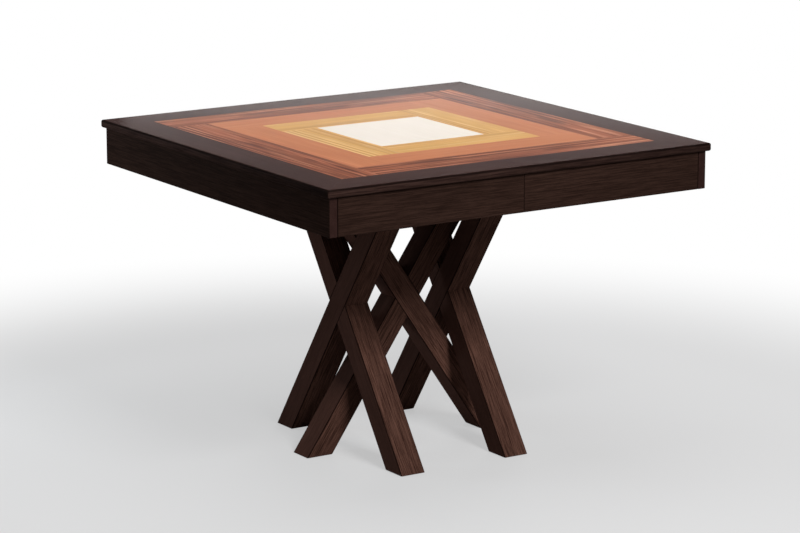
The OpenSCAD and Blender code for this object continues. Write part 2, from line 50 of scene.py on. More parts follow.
def clearSelection():
    if bpy.context.mode != "OBJECT":
        bpy.ops.object.mode_set(mode="OBJECT")
    bpy.ops.object.select_all(action="DESELECT")


def takeUp(piece):  # the only selected and the active object
    clearSelection()
    piece.select_set(True)
    bpy.context.view_layer.objects.active = piece


def settle(piece):  # puts the place of a piece into its mesh
    takeUp(piece)
    bpy.ops.object.transform_apply(location=True, rotation=True, scale=True)
    return piece


def addBlock(name, low, high):
    clearSelection()
    low, high = Vector(low) * mm, Vector(high) * mm
    bpy.ops.mesh.primitive_cube_add(size=1, location=(low + high) / 2, scale=high - low)
    block = bpy.context.object
    block.name = block.data.name = name
    return settle(block)


def openEdit(piece, kind):
    takeUp(piece)
    bpy.ops.object.mode_set(mode="EDIT")
    bpy.ops.mesh.select_mode(type=kind)
    bpy.ops.mesh.select_all(action="DESELECT")
    return bmesh.from_edit_mesh(piece.data)


def closeEdit():
    bpy.ops.object.mode_set(mode="OBJECT")


def roundEdges(piece, radius, segments, wanted):  # wanted gets both ends of an edge, in mm
    cage = openEdit(piece, "EDGE")
    for edge in cage.edges:
        if wanted(edge.verts[0].co / mm, edge.verts[1].co / mm):
            edge.select_set(True)
    bmesh.update_edit_mesh(piece.data)
    bpy.ops.mesh.bevel(offset=radius * mm, segments=segments, affect="EDGES")
    closeEdit()


def cutAway(piece, point, normal):  # saws off what lies beyond the plane and closes the cut
    openEdit(piece, "FACE")
    bpy.ops.mesh.select_all(action="SELECT")
    bpy.ops.mesh.bisect(plane_co=Vector(point) * mm, plane_no=Vector(normal).normalized(),
                        use_fill=True, clear_outer=True, threshold=sawBlur)
    closeEdit()


def useModifier(piece, kind, **settings):
    modifier = piece.modifiers.new(kind.lower(), kind)
    for key, value in settings.items():
        setattr(modifier, key, value)
    takeUp(piece)
    bpy.ops.object.modifier_apply(modifier=modifier.name)


def easeEdges(piece, width, segments=1):  # takes the sharpness off every hard edge
    useModifier(piece, "BEVEL", width=width * mm, segments=segments,
                limit_method="ANGLE", angle_limit=hardAngle)


def carve(piece, cutter):
    useModifier(piece, "BOOLEAN", operation="DIFFERENCE", solver="EXACT", object=cutter)
    bpy.data.objects.remove(cutter)


def copyPiece(piece, name):
    twin = piece.copy()
    twin.data = piece.data.copy()
    twin.name = twin.data.name = name
    bpy.context.scene.collection.objects.link(twin)
    return twin


def turnPiece(piece, degrees, shift=(0, 0, 0)):  # about the upright axis of the table
    piece.rotation_euler = (0, 0, math.radians(degrees))
    piece.location = Vector(shift) * mm
    return settle(piece)


def smoothPiece(piece):
    takeUp(piece)
    bpy.ops.object.shade_smooth_by_angle(angle=smoothAngle)
    useModifier(piece, "WEIGHTED_NORMAL", keep_sharp=True, weight=100)


def layGrain(piece, centre, along, across):  # wood coordinates: along, across and through
    along, across = Vector(along).normalized(), Vector(across).normalized()
    axes = np.array([along, across, along.cross(across)])
    points = np.empty(len(piece.data.vertices) * 3)
    piece.data.vertices.foreach_get("co", points)
    points = (points.reshape(-1, 3) - np.array(centre) * mm) @ axes.T
    layer = piece.data.attributes.new("grainPoint", "FLOAT_VECTOR", "POINT")
    layer.data.foreach_set("vector", points.astype(np.float32).ravel())


def markBoard(piece, seed, tone=1.0):  # which part of the log, and a painted lightness of the board that stands in for light and shade
    for name, value in (("boardSeed", seed), ("boardToneAndPaintedLight", tone)):
        layer = piece.data.attributes.get(name) or piece.data.attributes.new(name, "FLOAT", "POINT")
        layer.data.foreach_set("value", np.full(len(piece.data.vertices), value, np.float32))


def finishPiece(piece, body, node, slotName, *materials):
    smoothPiece(piece)
    piece.data.materials.clear()
    for material in materials:
        piece.data.materials.append(material)
    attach(piece, body)
    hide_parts(node)


def useSecond(piece, wanted):  # the second material goes where the normal is a wanted one
    for face in piece.data.polygons:
        face.material_index = 1 if wanted(face.normal) else 0


def addNode(tree, kind, setup=None, feeds=None):
    node = tree.nodes.new("ShaderNode" + kind)
    for key, value in (setup or {}).items():
        setattr(node, key, value)
    for key, value in (feeds or {}).items():
        feed(tree, node.inputs[key], value)
    return node


def feed(tree, socket, value):
    if isinstance(value, bpy.types.NodeSocket):
        tree.links.new(value, socket)
    else:
        socket.default_value = value


def maths(tree, operation, a, b):
    return addNode(tree, "Math", {"operation": operation}, {0: a, 1: b}).outputs[0]


def vectorMaths(tree, operation, a, b):
    return addNode(tree, "VectorMath", {"operation": operation}, {0: a, 1: b}).outputs[0]


def noise(tree, point, repeats, detail, rough=0.5):
    return addNode(tree, "TexNoise", {"noise_dimensions": "3D"},
                   {"Vector": vectorMaths(tree, "MULTIPLY", point, repeats), "Scale": 1.0,
                    "Detail": detail, "Roughness": rough})


def spread(tree, value, low, high, toLow=0.0, toHigh=1.0):
    return addNode(tree, "MapRange", {"clamp": True},
                   {"Value": value, "From Min": low, "From Max": high,
                    "To Min": toLow, "To Max": toHigh}).outputs["Result"]


def mixColour(tree, factor, a, b, blend="MIX"):
    return addNode(tree, "Mix", {"data_type": "RGBA", "blend_type": blend, "clamp_factor": True},
                   {0: factor, 6: a, 7: b}).outputs[2]  # 6, 7 and 2 are its colour sockets


def shade(tree, colour, tone):
    return mixColour(tree, 1.0, colour, tone, "MULTIPLY")


def rampOf(tree, value, stops):  # stops are (place, grey), in order
    node = addNode(tree, "ValToRGB", None, {"Fac": value})
    band = node.color_ramp
    band.elements.remove(band.elements[1])
    band.elements[0].position, band.elements[0].color = 0.0, (0, 0, 0, 1)
    for place, tone in stops:
        band.elements.new(place).color = (tone, tone, tone, 1)
    return node.outputs["Color"]


def readAttribute(tree, name, output="Fac"):
    return addNode(tree, "Attribute", {"attribute_name": name}).outputs[output]


def newGroup(name, inputs, outputs):
    group = bpy.data.node_groups.new(name, "ShaderNodeTree")
    kinds = {"v": "NodeSocketVector", "f": "NodeSocketFloat"}
    for label, kind, value in inputs:
        socket = group.interface.new_socket(name=label, in_out="INPUT", socket_type=kinds[kind])
        socket.default_value = value
    for label in outputs:
        group.interface.new_socket(name=label, in_out="OUTPUT", socket_type=kinds["f"])
    return group, group.nodes.new("NodeGroupInput"), group.nodes.new("NodeGroupOutput")


def useGroup(tree, group, feeds):
    node = tree.nodes.new("ShaderNodeGroup")
    node.node_tree = group
    for key, value in feeds.items():
        feed(tree, node.inputs[key], value)
    return node


def newMaterial(name, **sockets):
    material = bpy.data.materials.new(name)
    material.use_nodes = True
    tree = material.node_tree
    shader = tree.nodes["Principled BSDF"]
    for key, value in sockets.items():
        shader.inputs[key.replace("_", " ")].default_value = value
    return material, tree, shader


# figure of solid wood; each noise has its repeats per metre along, across and through, then its detail
grainNoise = {"drift": ((2.3, 11.0, 11.0), 2.0), "cloud": ((3.1, 8.0, 8.0), 2.0),
              "pores": ((70.0, 1900.0, 1900.0), 1.0), "poreEdge": (0.60, 0.70),
              "streakDetail": (4.0, 0.62), "fibreDetail": 2.0, "fibresToStreak": (4.0, 5.0, 5.0)}


def buildGrainFigure():
    group, ins, outs = newGroup(
        "grainFigure",
        [("Point", "v", (0, 0, 0)), ("Along", "f", 7.0), ("Across", "f", 180.0), ("Bend", "f", 0.004)],
        ["Figure", "Fibre", "Pores", "Cloud"])
    point = ins.outputs["Point"]
    slow = noise(group, point, *grainNoise["drift"])
    centred = vectorMaths(group, "SUBTRACT", slow.outputs["Color"], (0.5, 0.5, 0.5))
    drift = addNode(group, "VectorMath", {"operation": "SCALE"}, {0: centred, "Scale": ins.outputs["Bend"]})
    bent = vectorMaths(group, "ADD", point, drift.outputs[0])
    coarse = addNode(group, "CombineXYZ", None, {"X": ins.outputs["Along"], "Y": ins.outputs["Across"],
                                                 "Z": ins.outputs["Across"]}).outputs[0]
    figure = noise(group, bent, coarse, *grainNoise["streakDetail"])
    fine = vectorMaths(group, "MULTIPLY", coarse, grainNoise["fibresToStreak"])
    fibre = noise(group, bent, fine, grainNoise["fibreDetail"])
    dots = noise(group, bent, *grainNoise["pores"])
    cloud = noise(group, point, *grainNoise["cloud"])
    feed(group, outs.inputs["Figure"], figure.outputs["Fac"])
    feed(group, outs.inputs["Fibre"], fibre.outputs["Fac"])
    feed(group, outs.inputs["Pores"], spread(group, dots.outputs["Fac"], *grainNoise["poreEdge"]))
    feed(group, outs.inputs["Cloud"], cloud.outputs["Fac"])
    return group


# figure of thin veneer, in the same terms; the edges are where a mask starts and where it is full
veneerNoise = {"slow": ((3.4, 16.0, 0.0), 1.0), "quick": ((13.0, 75.0, 0.0), 2.0), "quickShare": 0.4,
               "break": ((5.5, 95.0, 0.0), 2.0), "breakEdge": (0.38, 0.60),
               "streak": ((2.6, 105.0, 0.0), 3.0, 0.6), "streakEdge": (0.48, 0.61), "paleEdge": (0.45, 0.34),
               "fibre": ((14.0, 330.0, 0.0), 2.0), "cloud": ((4.0, 22.0, 0.0), 2.0)}


def buildVeneerDrift():
    # how far across its strip a point lies, from 0 at the outer edge to 1 at the inner one,
    # with the sideways wander of real grain, and the masks of its irregular marks
    group, ins, outs = newGroup(
        "veneerDrift",
        [("Point", "v", (0, 0, 0)), ("Width", "f", 0.096), ("Bend", "f", 0.1)],
        ["Across", "Break", "Streak", "Pale", "Fibre", "Cloud"])
    point = ins.outputs["Point"]
    found = {name: noise(group, point, *veneerNoise[name]).outputs["Fac"]
             for name in ("slow", "quick", "break", "streak", "fibre", "cloud")}
    aside = addNode(group, "SeparateXYZ", None, {0: point}).outputs["Y"]
    share = maths(group, "ADD", maths(group, "DIVIDE", aside, ins.outputs["Width"]), 0.5)
    slow = maths(group, "SUBTRACT", found["slow"], 0.5)
    quick = maths(group, "MULTIPLY", maths(group, "SUBTRACT", found["quick"], 0.5), veneerNoise["quickShare"])
    wander = maths(group, "MULTIPLY", maths(group, "ADD", slow, quick), ins.outputs["Bend"])
    feed(group, outs.inputs["Across"], maths(group, "ADD", share, wander))
    feed(group, outs.inputs["Break"], spread(group, found["break"], *veneerNoise["breakEdge"]))
    feed(group, outs.inputs["Streak"], spread(group, found["streak"], *veneerNoise["streakEdge"]))
    feed(group, outs.inputs["Pale"], spread(group, found["streak"], *veneerNoise["paleEdge"]))
    feed(group, outs.inputs["Fibre"], found["fibre"])
    feed(group, outs.inputs["Cloud"], found["cloud"])
    return group


lensEdge = (0.25, 1.15)  # where a mark starts to fade and where it has gone, as squared shares of its size


def buildGrainLens():
    # a long soft mark in the veneer, such as dark heartwood or a pale patch
    group, ins, outs = newGroup(
        "grainLens",
        [("Along", "f", 0.0), ("Across", "f", 0.0), ("Ragged", "f", 0.5), ("Place", "f", 0.0),
         ("Line", "f", 0.5), ("Length", "f", 0.1), ("Width", "f", 0.05)],
        ["Mask"])
    far = maths(group, "SUBTRACT", ins.outputs["Along"], ins.outputs["Place"])
    far = maths(group, "DIVIDE", far, ins.outputs["Length"])
    off = maths(group, "SUBTRACT", ins.outputs["Across"], ins.outputs["Line"])
    off = maths(group, "DIVIDE", off, ins.outputs["Width"])
    oval = maths(group, "ADD", maths(group, "MULTIPLY", far, far), maths(group, "MULTIPLY", off, off))
    ragged = maths(group, "ADD", oval, maths(group, "SUBTRACT", ins.outputs["Ragged"], 0.5))
    feed(group, outs.inputs["Mask"], spread(group, ragged, *lensEdge, 1.0, 0.0))
    return group


handlingNoise = ((5.0, 5.0, 5.0), 4.0, 0.6)  # repeats per metre, detail, roughness


def buildHandling():
    # faint marks of use, in the gloss
    group, ins, outs = newGroup(
        "handling", [("Point", "v", (0, 0, 0)), ("Gloss", "f", 0.45), ("Change", "f", 0.1)], ["Roughness"])
    smudge = noise(group, ins.outputs["Point"], *handlingNoise).outputs["Fac"]
    swing = maths(group, "MULTIPLY", maths(group, "SUBTRACT", smudge, 0.5), ins.outputs["Change"])
    feed(group, outs.inputs["Roughness"], maths(group, "ADD", ins.outputs["Gloss"], swing))
    return group


grainFigure = buildGrainFigure()
veneerDrift = buildVeneerDrift()
grainLens = buildGrainLens()
handling = buildHandling()

logStep = 3.7  # m along the log from one seed to the next
noiseRange = (0.3, 0.7)  # nearly all of a noise lies in it


def boardPoint(tree):  # wood coordinates of a modelled board, moved along its own log
    shift = maths(tree, "MULTIPLY", readAttribute(tree, "boardSeed"), logStep)
    shift = addNode(tree, "CombineXYZ", None, {"X": shift}).outputs[0]
    return vectorMaths(tree, "ADD", readAttribute(tree, "grainPoint", "Vector"), shift)


def nodePoint(tree):  # wood coordinates of a CAD node
    return addNode(tree, "TexCoord").outputs["Object"]


def dressShader(tree, shader, colour, roughness, height, depth):
    bump = addNode(tree, "Bump", None, {"Height": height, "Distance": depth * mm, "Strength": 1.0})
    feed(tree, shader.inputs["Base Color"], colour)
    feed(tree, shader.inputs["Roughness"], roughness)
    feed(tree, shader.inputs["Normal"], bump.outputs[0])


stain = {"fibre": (0.86, 1.12), "cloud": (0.88, 1.12), "pore": 0.35}  # what multiplies the colour


def stainedWood(name, look, point=boardPoint):
    material, tree, shader = newMaterial(name, Specular_IOR_Level=look["shine"])
    spot = point(tree)
    figure = useGroup(tree, grainFigure, {"Point": spot, "Along": look["along"], "Across": look["across"],
                                          "Bend": look["bend"]}).outputs
    wear = useGroup(tree, handling, {"Point": spot, "Gloss": look["gloss"], "Change": look["wear"]})
    streak = spread(tree, figure["Figure"], 0.5 - look["soft"], 0.5 + look["soft"])
    colour = mixColour(tree, streak, (*look["dark"], 1), (*look["light"], 1))
    colour = shade(tree, colour, spread(tree, figure["Fibre"], *noiseRange, *stain["fibre"]))
    colour = shade(tree, colour, spread(tree, figure["Cloud"], *noiseRange, *stain["cloud"]))
    pores = maths(tree, "MULTIPLY", figure["Pores"], look["pores"])
    colour = mixColour(tree, pores, colour, (*[part * stain["pore"] for part in look["dark"]], 1))
    # the board's tone carries painted light and shade
    if point is boardPoint:
        colour = shade(tree, colour, readAttribute(tree, "boardToneAndPaintedLight"))
    height = maths(tree, "SUBTRACT", figure["Fibre"], figure["Pores"])
    dressShader(tree, shader, colour, wear.outputs["Roughness"], height, look["depth"])
    return material


# lines in a veneer: first, beyond and gap are shares of the strip's width, inner is the share of a line's
# half width that it reaches inwards, and rise and fall are how much of each side of it is at its darkest
veneerLine = {"first": 0.002, "beyond": 1.02, "gap": 0.001, "inner": 0.7, "rise": 0.35, "fall": 0.5}


def lineProfile(tree, across, lines):  # how dark the wood is across its strip
    stops, reached = [], veneerLine["first"]
    for number, (place, half, darkness) in enumerate(lines):
        following = lines[number + 1][0] if number + 1 < len(lines) else veneerLine["beyond"]
        starts = max(place - half, reached)
        ends = min(place + half * veneerLine["inner"], (place + following) / 2)
        stops += [(starts, 0.0), (place - (place - starts) * veneerLine["rise"], darkness),
                  (place + (ends - place) * veneerLine["fall"], darkness), (min(ends, 1.0), 0.0)]
        reached = ends + veneerLine["gap"]
    return rampOf(tree, across, stops)


def veneerWood(name, look, figure):
    # broad, fine and light lines are (place across the strip, half width, strength), with plain wood between
    material, tree, shader = newMaterial(name, Specular_IOR_Level=look["shine"])
    spot = boardPoint(tree)
    drift = useGroup(tree, veneerDrift, {"Point": spot, "Width": look["width"] * mm,
                                         "Bend": look["bend"]}).outputs
    across = drift["Across"]
    broad = maths(tree, "MULTIPLY", lineProfile(tree, across, figure["broad"]),
                  spread(tree, drift["Break"], 0.0, 1.0, look["keptBroad"], 1.0))
    fine = maths(tree, "MULTIPLY", lineProfile(tree, across, figure["fine"]),
                 spread(tree, drift["Cloud"], *look["fineEdge"], look["keptFine"], 1.0))
    streak = maths(tree, "MULTIPLY", drift["Streak"], look["streak"])
    mask = maths(tree, "MAXIMUM", maths(tree, "MAXIMUM", broad, fine), streak)
    along = addNode(tree, "SeparateXYZ", None, {0: readAttribute(tree, "grainPoint", "Vector")}).outputs["X"]
    for at, line, length, width, darkness in figure.get("lenses", []):
        lens = useGroup(tree, grainLens, {"Along": along, "Across": across, "Ragged": drift["Cloud"],
                                          "Place": at * mm, "Line": line,
                                          "Length": length * mm, "Width": width})
        mark = maths(tree, "MULTIPLY", lens.outputs["Mask"], abs(darkness))
        if darkness < 0:  # a pale patch wipes out what is under it
            mask = maths(tree, "MULTIPLY", mask, maths(tree, "SUBTRACT", 1.0, mark))
        else:
            mask = maths(tree, "MAXIMUM", mask, mark)
    pale = drift["Pale"]
    if "light" in figure:
        pale = maths(tree, "MAXIMUM", pale, lineProfile(tree, across, figure["light"]))
    plain = mixColour(tree, pale, (*look["base"], 1), (*look["pale"], 1))
    colour = mixColour(tree, mask, plain, (*look["vein"], 1))
    for mark, swing in ((drift["Cloud"], look["cloud"]), (drift["Fibre"], look["fibre"])):
        colour = shade(tree, colour, spread(tree, mark, *noiseRange, 1 - swing, 1 + swing))
    wear = useGroup(tree, handling, {"Point": spot, "Gloss": look["gloss"], "Change": look["wear"]})
    dressShader(tree, shader, colour, wear.outputs["Roughness"], drift["Fibre"], look["depth"])
    return material


# scratches of metal: repeats per metre, detail and roughness
metalWork = {"scratch": ((40.0, 900.0, 900.0), 3.0, 0.6), "tone": (0.86, 1.08), "dulled": 0.1,
             "wear": 0.2, "depth": 0.01}


def workedMetal(name, colour, gloss, metal=1.0):
    material, tree, shader = newMaterial(name, Metallic=metal)
    spot = nodePoint(tree)
    lines = noise(tree, spot, *metalWork["scratch"]).outputs["Fac"]
    wear = useGroup(tree, handling, {"Point": spot, "Gloss": gloss, "Change": metalWork["wear"]})
    colour = shade(tree, (*colour, 1), spread(tree, lines, *noiseRange, *metalWork["tone"]))
    rough = maths(tree, "ADD", wear.outputs["Roughness"], maths(tree, "MULTIPLY", lines, metalWork["dulled"]))
    dressShader(tree, shader, colour, rough, lines, metalWork["depth"])
    return material


# finishes; colours are linear, along and across are streaks per metre
espresso = {"dark": (0.0195, 0.0098, 0.0074), "light": (0.042, 0.0219, 0.0164), "along": 9.0,
            "across": 340.0, "bend": 0.006, "soft": 0.135, "pores": 0.5, "gloss": 0.4, "shine": 0.002,
            "wear": 0.12, "depth": 0.04}
borderLook = dict(espresso, dark=(0.032, 0.0120, 0.0095), light=(0.047, 0.0185, 0.0150), soft=0.3, pores=0.2,
                  gloss=0.17, shine=0.0006, wear=0.02, depth=0.003)
apronLook = dict(espresso, along=13.0, across=560.0, soft=0.10)
edgeLook = dict(espresso, dark=(0.023, 0.0118, 0.0097), light=(0.056, 0.0305, 0.0247), along=12.0,
                across=280.0)
endLook = dict(espresso, dark=(0.026, 0.0122, 0.0105), light=(0.042, 0.0205, 0.0175), along=60.0,
               across=60.0, soft=0.35, pores=0.15)
legLook = dict(espresso, dark=(0.034, 0.0150, 0.0108), light=(0.132, 0.064, 0.047), along=14.0,
               across=820.0, soft=0.10, gloss=0.5)
legFaceLook = dict(legLook, dark=(0.058, 0.0270, 0.0205), light=(0.094, 0.0450, 0.0345), along=12.0,
                   across=260.0, soft=0.3, pores=0.3)
beechLook = {"dark": (0.46, 0.30, 0.17), "light": (0.62, 0.44, 0.27), "along": 5.0, "across": 90.0,
             "bend": 0.01, "soft": 0.2, "pores": 0.25, "gloss": 0.5, "shine": 0.3, "wear": 0.12,
             "depth": 0.03}
plateLook = dict(beechLook, dark=(0.075, 0.045, 0.032), light=(0.13, 0.085, 0.06), along=4.0, across=60.0,
                 bend=0.02, pores=0.3, gloss=0.6, shine=0.2, depth=0.04)
coreLook = dict(beechLook, dark=(0.34, 0.235, 0.145), light=(0.46, 0.335, 0.215), along=4.0, across=50.0,
                bend=0.02, soft=0.22, gloss=0.6)

borderWood = stainedWood("borderWood", borderLook)
apronWood = stainedWood("apronWood", apronLook)
edgeWood = stainedWood("edgeWood", edgeLook)
endWood = stainedWood("endWood", endLook)
legWood = stainedWood("legWood", legLook)
legFaceWood = stainedWood("legFaceWood", legFaceLook)
leafWood = stainedWood("leafWood", espresso, nodePoint)
beech = stainedWood("beech", beechLook, nodePoint)
plateBoard = stainedWood("plateBoard", plateLook, nodePoint)
coreBoard = stainedWood("coreBoard", coreLook, nodePoint)
gearBrass = workedMetal("gearBrass", (0.52, 0.36, 0.145), 0.42)
brightSteel = workedMetal("brightSteel", (0.40, 0.40, 0.41), 0.48)
screwZinc = workedMetal("screwZinc", (0.42, 0.415, 0.40), 0.45)
glideNylon = workedMetal("glideNylon", (0.025, 0.025, 0.026), 0.5, metal=0.0)
print("finishes built,", len(bpy.data.materials), "materials")


# border of the top: three boards to a half, mitred at the corners
# arris is the share of the edge's rounding that gets a painted dark line of shade, the side values paint
# light and shade from the left or front end of a side to its other end, and seeds pick the log of a side
top = {"half": 528, "height": 762, "under": 743, "edge": 5, "edgeSteps": 6, "border": 96,
       "seam": 0.15, "joint": 0.05, "ease": 0.12, "arris": 0.97, "paintedEdgeShade": 0.3,
       "paintedSideLight": {"left": (0.46, 1.45), "right": (1.0, 1.0), "front": (1.18, 0.62), "rear": (1.0, 0.66)},
       "seeds": {"left": 1, "front": 2, "rear": 3, "right": 7}}
halves = (("left", 0, "left_half"), ("right", 180, "right_half"))  # name, degrees of turn, body
opposite = {"left": "right", "front": "rear", "rear": "front", "side": "side"}


def edgeOf(half, place):  # where a piece lies on the whole table: the right half is the left one turned
    return place if half == "left" else opposite[place]


def paintEdgeShade(board, side):  # painted shade on the rounded upper edge, and painted light and shade along each side
    tone = board.data.attributes["boardToneAndPaintedLight"]
    axis = 1 if side in ("left", "right") else 0
    start, end = top["paintedSideLight"][side]
    for vertex in board.data.vertices:
        depth = top["height"] - vertex.co.z / mm
        if depth > hair:
            rounded = depth < top["edge"] * top["arris"]
            share = vertex.co[axis] / mm / top["half"] / 2 + 0.5
            tone.data[vertex.index].value = top["paintedEdgeShade"] if rounded else start + (end - start) * share


slab = addBlock("slab", (-top["half"], -top["half"], top["under"]), (top["half"], top["half"], top["height"]))
roundEdges(slab, top["edge"], top["edgeSteps"], lambda a, b: True)
field = top["half"] - top["border"]
corner = top["half"] - top["border"] / 2
for half, turn, body in halves:
    for place, side in (("left", 0), ("front", -1), ("rear", 1)):
        edge = edgeOf(half, place)
        board = copyPiece(slab, f"{half}_border_{edge}")
        if place == "left":
            cutAway(board, (-field, 0, 0), (1, 0, 0))
            for end in (-1, 1):
                cutAway(board, (-corner - top["joint"], end * corner, 0), (1, end, 0))
            layGrain(board, (-corner, 0, top["under"]), (0, 1, 0), (-1, 0, 0))
        else:
            cutAway(board, (0, side * field, 0), (0, -side, 0))
            cutAway(board, (-corner + top["joint"], side * corner, 0), (-1, -side, 0))
            cutAway(board, (-top["seam"], 0, 0), (1, 0, 0))
            layGrain(board, (0, side * corner, top["under"]), (-side, 0, 0), (0, side, 0))
        easeEdges(board, top["ease"])
        turnPiece(board, turn)
        markBoard(board, top["seeds"][edge])  # one log runs through the seam
        paintEdgeShade(board, edge)
        finishPiece(board, body, f"{half}_top_border", "border_wood", borderWood, edgeWood)
        useSecond(board, lambda normal: normal.z <= facing)
bpy.data.objects.remove(slab)
print("border: 6 boards")


# inlaid strips of the top
strip = {"band": 96, "under": 758, "joint": 0.05, "ease": 0.2}
veneer = {"width": strip["band"], "gloss": 0.17, "shine": 0.0006, "wear": 0.03, "depth": 0.003,
          "fineEdge": (0.35, 0.6)}
rosewood = dict(veneer, base=(0.325, 0.096, 0.044), vein=(0.062, 0.017, 0.011), pale=(0.56, 0.225, 0.115),
                bend=0.12, keptBroad=0.6, keptFine=0.6, cloud=0.12, streak=0.8, fibre=0.12)
cherry = dict(veneer, base=(0.50, 0.178, 0.077), vein=(0.40, 0.115, 0.050), pale=(0.54, 0.205, 0.095),
              bend=0.3, keptBroad=0.0, keptFine=0.0, cloud=0.05, streak=0.2, fibre=0.03)
goldWood = dict(veneer, base=(0.64, 0.355, 0.110), vein=(0.33, 0.135, 0.038), pale=(0.79, 0.52, 0.235),
                bend=0.04, keptBroad=0.5, keptFine=0.75, cloud=0.05, streak=0.10, fibre=0.05)


def rosewoodFigure(start, way, fine):  # the four strips are cut from one veneer, each further along
    # place along the veneer, line across the strip, length, width and darkness, or paleness below 0
    marks = [(-190, 0.50, 270, 0.30, 0.38), (-120, 0.93, 330, 0.10, 0.62), (230, 0.93, 260, 0.08, 0.35),
             (-337, 0.76, 95, 0.08, 0.85), (-205, 0.64, 50, 0.09, 0.75), (13, 0.46, 75, 0.08, 0.75),
             (-60, 0.30, 120, 0.05, 0.5), (205, 0.54, 150, 0.17, -0.9)]
    return {"broad": [(0.90, 0.10, 0.35)], "fine": fine,
            "lenses": [(way * (at + start), line, length, width, darkness)
                       for at, line, length, width, darkness in marks]}


# place across the strip from its outer edge, half width, strength
figures = {
    "rosewood": {
        "left": rosewoodFigure(0, 1, [(0.08, 0.06, 0.85), (0.24, 0.06, 0.8), (0.40, 0.055, 0.7),
                                      (0.57, 0.045, 0.5)]),
        "front": rosewoodFigure(185, 1, [(0.10, 0.05, 0.3), (0.30, 0.06, 0.45), (0.52, 0.05, 0.3),
                                         (0.88, 0.06, 0.6)]),
        "right": rosewoodFigure(60, -1, [(0.10, 0.05, 0.3), (0.26, 0.05, 0.35), (0.45, 0.05, 0.3),
                                         (0.80, 0.03, 0.3)]),
        "rear": rosewoodFigure(150, -1, [(0.12, 0.06, 0.3), (0.34, 0.06, 0.4), (0.80, 0.05, 0.35)])},
    "cherry": {
        "left": {"broad": [(0.5, 0.2, 0.15)], "fine": [(0.3, 0.05, 0.15), (0.72, 0.05, 0.15)]},
        "front": {"broad": [(0.4, 0.2, 0.15)], "fine": [(0.2, 0.05, 0.15), (0.8, 0.05, 0.15)]},
        "right": {"broad": [(0.6, 0.2, 0.2)], "fine": [(0.25, 0.05, 0.15), (0.6, 0.05, 0.2)]},
        "rear": {"broad": [(0.5, 0.2, 0.25)], "fine": [(0.35, 0.05, 0.2), (0.75, 0.05, 0.2)]}},
    "gold": {
        "left": {"broad": [(0.80, 0.24, 0.28)],
                 "light": [(0.05, 0.05, 0.75), (0.20, 0.05, 0.6), (0.36, 0.06, 0.4)],
                 "fine": [(0.125, 0.05, 0.5), (0.285, 0.05, 0.42), (0.46, 0.04, 0.3), (0.62, 0.045, 0.5),
                          (0.86, 0.05, 0.6)]},
        "front": {"broad": [(0.86, 0.12, 0.32)],
                  "fine": [(0.30, 0.04, 0.12), (0.62, 0.04, 0.2), (0.80, 0.04, 0.3)]},
        "right": {"broad": [(0.95, 0.05, 0.3)],
                  "fine": [(0.15, 0.04, 0.1), (0.50, 0.04, 0.15), (0.72, 0.04, 0.3), (0.86, 0.045, 0.65)]},
        "rear": {"broad": [(0.82, 0.16, 0.5)],
                 "fine": [(0.25, 0.04, 0.15), (0.66, 0.04, 0.4), (0.90, 0.04, 0.3)]}}}
bands = [("rosewood", rosewood, "rosewood"), ("cherry", cherry, "cherry"), ("gold", goldWood, "gold_wood")]
outwards = {"left": (-1, 0, 0), "front": (0, -1, 0), "right": (1, 0, 0), "rear": (0, 1, 0)}
stripCount = 0
for number, (wood, look, slotName) in enumerate(bands):
    woods = {edge: veneerWood(wood + edge.capitalize(), look, figures[wood][edge]) for edge in figures[wood]}
    outer = field - number * strip["band"]
    inner = outer - strip["band"]
    middle = outer - strip["band"] / 2
    places = {"left": ((-outer, -outer), (-inner, inner)), "front": ((-inner, -outer), (0, -inner)),
              "rear": ((-outer, inner), (0, outer))}
    for half, turn, body in halves:
        for place, (low, high) in places.items():
            edge = edgeOf(half, place)
            gap = strip["joint"]
            piece = addBlock(f"{half}_{wood}_{edge}", (low[0] + gap, low[1] + gap, strip["under"]),
                             (min(high[0] - gap, -top["seam"]), high[1] - gap, top["height"]))
            easeEdges(piece, strip["ease"])
            turnPiece(piece, turn)
            outward = Vector(outwards[edge])
            along = (0, 1, 0) if edge in ("left", "right") else (1, 0, 0)
            layGrain(piece, outward * middle + Vector((0, 0, strip["under"])), along, -outward)
            markBoard(piece, number * len(outwards) + list(outwards).index(edge))
            finishPiece(piece, body, f"{half}_{wood}_band", slotName, woods[edge])
            stripCount += 1

centre = field - len(bands) * strip["band"]
ivory = dict(veneer, base=(0.835, 0.765, 0.685), vein=(0.78, 0.71, 0.62), pale=(0.845, 0.78, 0.705),
             width=2 * centre, bend=0.08, keptBroad=0.0, keptFine=0.2, cloud=0.01, streak=0.1,
             fibre=0.015, seed=20)
ivoryFigure = {"broad": [(0.12, 0.05, 0.2), (0.4, 0.08, 0.2), (0.66, 0.05, 0.2), (0.86, 0.06, 0.2)],
               "fine": [(0.2, 0.01, 0.2), (0.35, 0.01, 0.2), (0.55, 0.01, 0.2), (0.75, 0.01, 0.2)]}
ivoryWood = veneerWood("ivoryWood", ivory, ivoryFigure)
for half, turn, body in halves:
    reach = centre - strip["joint"]
    panel = addBlock(f"{half}_ivory_panel", (-reach, -reach, strip["under"]),
                     (-top["seam"], reach, top["height"]))
    easeEdges(panel, strip["ease"])
    turnPiece(panel, turn)
    layGrain(panel, (0, 0, strip["under"]), (0, 1, 0), (-1, 0, 0))
    markBoard(panel, ivory["seed"])
    finishPiece(panel, body, f"{half}_centre_panel", "ivory_wood", ivoryWood)
print("inlay:", stripCount, "strips and 2 panels")


